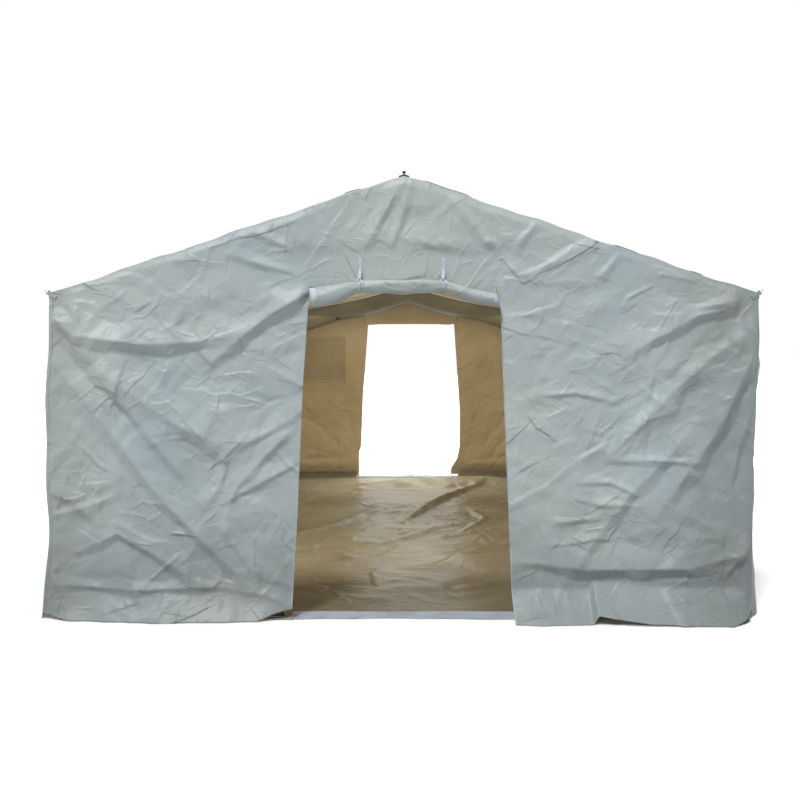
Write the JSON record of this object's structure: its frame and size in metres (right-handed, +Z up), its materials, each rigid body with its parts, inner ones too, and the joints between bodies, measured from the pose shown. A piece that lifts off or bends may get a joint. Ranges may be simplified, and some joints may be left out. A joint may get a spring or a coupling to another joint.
{
  "type": "inflatable medical tent",
  "caption": "Gabled shelter tent on an air-beam frame: coated cloth cover with side and rear windows, a rolled door at each end, and a ground sheet.",
  "frame": {"origin": "centre of the tent's footprint, on the ground", "axes": "+X to the right seen from the front door, +Y from the front door to the rear door, +Z up"},
  "size_m": [4.0534, 6.2632, 2.5223],
  "materials": {
    "cover_cloth": "satin",
    "beam_cloth": "satin",
    "ground_cloth": "satin",
    "pale_tape": "matte",
    "net": "matte",
    "steel": "satin",
    "dark_metal": "satin",
    "valve_plastic": "matte"
  },
  "bodies": {
    "tent": {"front_arch_beam": "beam_cloth", "middle_arch_beam": "beam_cloth", "rear_arch_beam": "beam_cloth", "ridge_beam_front": "beam_cloth", "ridge_beam_rear": "beam_cloth", "left_eave_beam_front": "beam_cloth", "left_eave_beam_rear": "beam_cloth", "right_eave_beam_front": "beam_cloth", "right_eave_beam_rear": "beam_cloth", "roof_left_panel": "cover_cloth", "roof_right_panel": "cover_cloth", "left_side_wall": "cover_cloth", "right_side_wall": "cover_cloth", "front_wall": "cover_cloth", "rear_wall": "cover_cloth", "ground_sheet": "ground_cloth", "front_threshold_strip": "pale_tape", "rear_threshold_strip": "pale_tape", "front_door_curtain": "cover_cloth", "rear_door_curtain": "cover_cloth", "front_door_left_tape": "pale_tape", "front_door_right_tape": "pale_tape", "rear_door_left_tape": "pale_tape", "rear_door_right_tape": "pale_tape", "left_front_window_net": "net", "left_rear_window_net": "net", "right_front_window_net": "net", "right_rear_window_net": "net", "rear_window_net": "net", "front_left_guy_tab": "pale_tape", "front_right_guy_tab": "pale_tape", "rear_left_guy_tab": "pale_tape", "rear_right_guy_tab": "pale_tape", "front_apex_stud": "dark_metal", "rear_apex_stud": "dark_metal", "front_valve_base": "valve_plastic", "front_valve_spring": "steel", "rear_valve_base": "valve_plastic", "rear_valve_spring": "steel", "relief_valve_body": "valve_plastic"},
    "front_door": {"front_door_roll": "cover_cloth", "front_door_left_tie": "pale_tape", "front_door_right_tie": "pale_tape"},
    "rear_door": {"rear_door_roll": "cover_cloth", "rear_door_left_tie": "pale_tape", "rear_door_right_tie": "pale_tape"},
    "left_front_flap": {"left_front_window_flap": "cover_cloth"},
    "left_rear_flap": {"left_rear_window_flap": "cover_cloth"},
    "right_front_flap": {"right_front_window_flap": "cover_cloth"},
    "right_rear_flap": {"right_rear_window_flap": "cover_cloth"},
    "rear_flap": {"rear_window_flap": "cover_cloth"},
    "front_left_ring": {"front_left_guy_ring": "steel"},
    "front_right_ring": {"front_right_guy_ring": "steel"},
    "rear_left_ring": {"rear_left_guy_ring": "steel"},
    "rear_right_ring": {"rear_right_guy_ring": "steel"},
    "front_plunger": {"front_valve_plunger": "valve_plastic"},
    "rear_plunger": {"rear_valve_plunger": "valve_plastic"},
    "front_cap": {"front_valve_cap": "valve_plastic"},
    "rear_cap": {"rear_valve_cap": "valve_plastic"},
    "relief_poppet": {"relief_valve_poppet": "steel"}
  },
  "joints": [
    {"name": "front_door_lower", "type": "slide", "parent": "tent", "child": "front_door", "axis": [0, 0, -1], "range_m": [0, 1.715], "deforming": ["front_door_curtain"]},
    {"name": "rear_door_lower", "type": "slide", "parent": "tent", "child": "rear_door", "axis": [0, 0, -1], "range_m": [0, 1.755], "deforming": ["rear_door_curtain"]},
    {"name": "left_front_flap_lift", "type": "hinge", "parent": "tent", "child": "left_front_flap", "pos_m": [-2.0008, -1.42435, 1.565], "axis": [0, 1, 0], "range_deg": [0, 150]},
    {"name": "left_rear_flap_lift", "type": "hinge", "parent": "tent", "child": "left_rear_flap", "pos_m": [-2.0008, 1.42435, 1.565], "axis": [0, 1, 0], "range_deg": [0, 150]},
    {"name": "right_front_flap_lift", "type": "hinge", "parent": "tent", "child": "right_front_flap", "pos_m": [2.0008, -1.42435, 1.565], "axis": [0, -1, 0], "range_deg": [0, 150]},
    {"name": "right_rear_flap_lift", "type": "hinge", "parent": "tent", "child": "right_rear_flap", "pos_m": [2.0008, 1.42435, 1.565], "axis": [0, -1, 0], "range_deg": [0, 150]},
    {"name": "rear_flap_lift", "type": "hinge", "parent": "tent", "child": "rear_flap", "pos_m": [-1.075, 3.0008, 1.735], "axis": [1, 0, 0], "range_deg": [0, 150]},
    {"name": "front_left_ring_swing", "type": "hinge", "parent": "tent", "child": "front_left_ring", "pos_m": [-2.00672, -3.0013, 1.8347], "axis": [0.5736, 0, 0.8192], "range_deg": [-90, 90]},
    {"name": "front_right_ring_swing", "type": "hinge", "parent": "tent", "child": "front_right_ring", "pos_m": [2.00672, -3.0013, 1.8347], "axis": [-0.5736, 0, 0.8192], "range_deg": [-90, 90]},
    {"name": "rear_left_ring_swing", "type": "hinge", "parent": "tent", "child": "rear_left_ring", "pos_m": [-2.00672, 3.0013, 1.8347], "axis": [0.5736, 0, 0.8192], "range_deg": [-90, 90]},
    {"name": "rear_right_ring_swing", "type": "hinge", "parent": "tent", "child": "rear_right_ring", "pos_m": [2.00672, 3.0013, 1.8347], "axis": [-0.5736, 0, 0.8192], "range_deg": [-90, 90]},
    {"name": "front_plunger_press", "type": "slide", "parent": "tent", "child": "front_plunger", "axis": [-1, 0, 0], "range_m": [0, 0.005], "stiffness_N_per_m": 1500, "springref_m": -0.002, "deforming": ["front_valve_spring"]},
    {"name": "rear_plunger_press", "type": "slide", "parent": "tent", "child": "rear_plunger", "axis": [1, 0, 0], "range_m": [0, 0.005], "stiffness_N_per_m": 1500, "springref_m": -0.002, "deforming": ["rear_valve_spring"]},
    {"name": "front_cap_flip", "type": "hinge", "parent": "tent", "child": "front_cap", "pos_m": [-1.6894, -2.8755, 0.4], "axis": [0, 0, -1], "range_deg": [0, 120]},
    {"name": "rear_cap_flip", "type": "hinge", "parent": "tent", "child": "rear_cap", "pos_m": [1.6894, 2.8219, 0.4], "axis": [0, 0, 1], "range_deg": [0, 120]},
    {"name": "relief_poppet_lift", "type": "slide", "parent": "tent", "child": "relief_poppet", "axis": [0.2751, -0.5, -0.8212], "range_m": [0, 0.003], "stiffness_N_per_m": 1500, "springref_m": -0.002}
  ]
}
